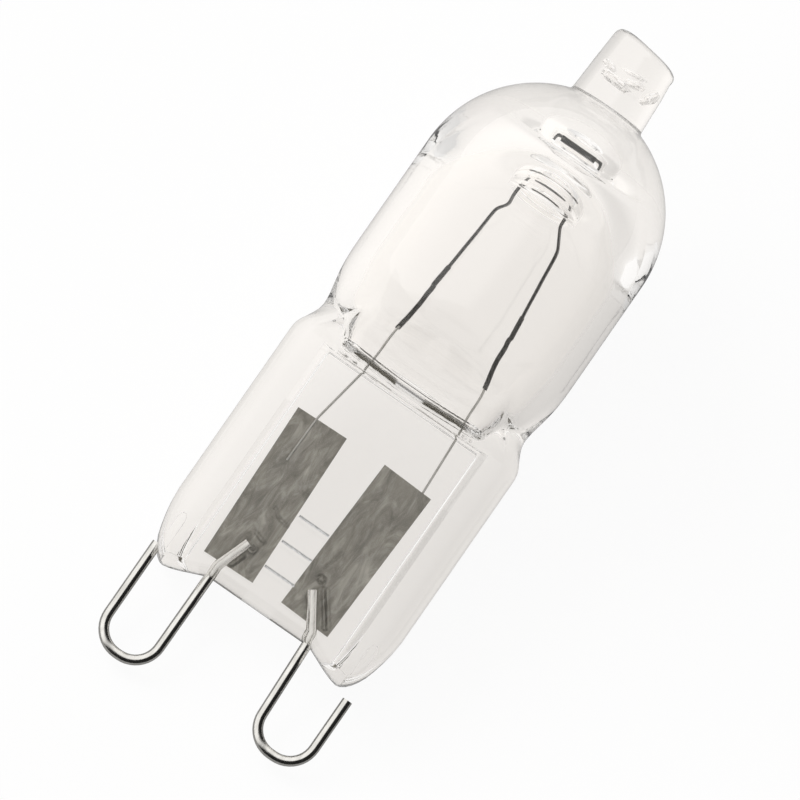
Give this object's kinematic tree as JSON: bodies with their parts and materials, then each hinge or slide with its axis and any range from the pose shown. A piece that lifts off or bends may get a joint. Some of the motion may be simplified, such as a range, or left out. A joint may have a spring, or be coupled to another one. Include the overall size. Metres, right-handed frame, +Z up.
{
  "type": "halogen capsule bulb",
  "caption": "Clear quartz capsule lamp with a domed bulb, sealed exhaust tip, filament legs, and a flat pressed foot that holds sealing foils and bent wire contact loops.",
  "frame": {"origin": "Middle of the lamp's box, on the surface that it lies on.", "axes": "+Y runs along the lamp towards the exhaust tip, seen from above, +X runs across the pinch to its right side, and +Z is up."},
  "size_m": [0.0132, 0.0388, 0.0141],
  "materials": {
    "quartz": "clear fused quartz, fire polished, with faint flow lines at the neck",
    "sealing_foil": "thin dull molybdenum foil, finely mottled and wrinkled near the welds",
    "loop_wire": "drawn molybdenum wire, dark grey with a narrow sheen",
    "lead_wire": "fine drawn molybdenum wire, dark grey",
    "filament_wire": "coiled tungsten wire, dull dark grey"
  },
  "bodies": {
    "root": {"quartz_envelope": "quartz", "left_foil": "sealing_foil", "right_foil": "sealing_foil", "left_contact_loop": "loop_wire", "right_contact_loop": "loop_wire", "left_inner_lead": "lead_wire", "right_inner_lead": "lead_wire", "left_leg_sleeve": "filament_wire", "right_leg_sleeve": "filament_wire", "filament": "filament_wire"}
  },
  "joints": []
}
